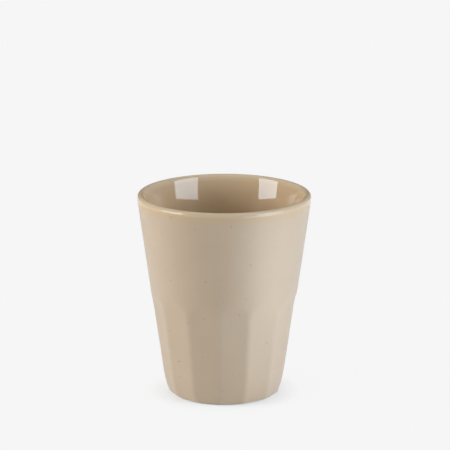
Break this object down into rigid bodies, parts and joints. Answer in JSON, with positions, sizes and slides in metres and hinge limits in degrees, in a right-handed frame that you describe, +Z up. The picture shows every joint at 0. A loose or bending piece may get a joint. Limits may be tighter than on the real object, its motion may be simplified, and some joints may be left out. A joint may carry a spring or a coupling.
{
  "type": "handleless porcelain mug",
  "caption": "Tapered handleless porcelain mug with a round lip, a faceted lower half with arched tops, gloss glaze inside and speckled matt glaze outside, standing on a bare foot ring.",
  "frame": {"origin": "middle of the foot ring, on the surface the mug stands on", "axes": "+Z up along the mug's axis, -Y towards the viewer of the picture"},
  "size_m": [0.085, 0.085, 0.1],
  "materials": {
    "bare_porcelain": "dry unglazed porcelain",
    "gloss_glaze": "gloss glaze",
    "matt_glaze": "satin matt glaze with fine dark specks"
  },
  "bodies": {
    "root": {"porcelain_body": "bare_porcelain", "inside_gloss_glaze": "gloss_glaze", "outside_matt_glaze": "matt_glaze", "base_gloss_glaze": "gloss_glaze"}
  },
  "joints": []
}
